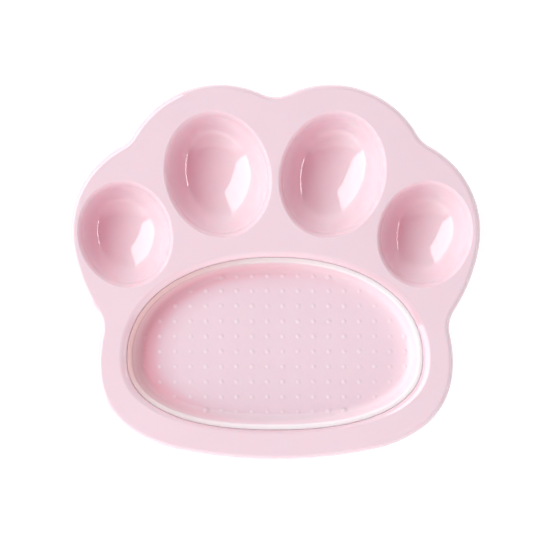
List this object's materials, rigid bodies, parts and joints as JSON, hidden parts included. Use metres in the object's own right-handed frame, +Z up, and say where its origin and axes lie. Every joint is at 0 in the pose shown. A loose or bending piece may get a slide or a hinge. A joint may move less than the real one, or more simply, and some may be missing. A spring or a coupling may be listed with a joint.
{
  "type": "paw-shaped pet feeding dish",
  "caption": "Flat paw-shaped plastic pet dish with egg-shaped toe wells, a palm recess holding a soft nubbed lick pad that lifts out, and non-slip feet under a hollow skirt.",
  "frame": {"origin": "on the surface that the dish rests on, under the middle of its bounding box", "axes": "+X towards the right outer toe, +Y from the heel towards the toes, +Z up out of the wells"},
  "size_m": [0.2056, 0.1878, 0.032],
  "materials": {
    "tray_plastic": "glossy pale pink moulded plastic",
    "pad_elastomer": "milky translucent soft moulding with a satin surface",
    "foot_elastomer": "matt off-white elastomer"
  },
  "bodies": {
    "tray": {"tray_shell": "tray_plastic", "foot_toe_right": "foot_elastomer", "foot_side_right": "foot_elastomer", "foot_heel_right": "foot_elastomer", "foot_toe_left": "foot_elastomer", "foot_side_left": "foot_elastomer", "foot_heel_left": "foot_elastomer"},
    "pad": {"lick_pad": "pad_elastomer"}
  },
  "joints": [
    {"name": "pad_lift", "type": "slide", "parent": "tray", "child": "pad", "axis": [0, 0, 1], "range_m": [0, 0.08]}
  ]
}
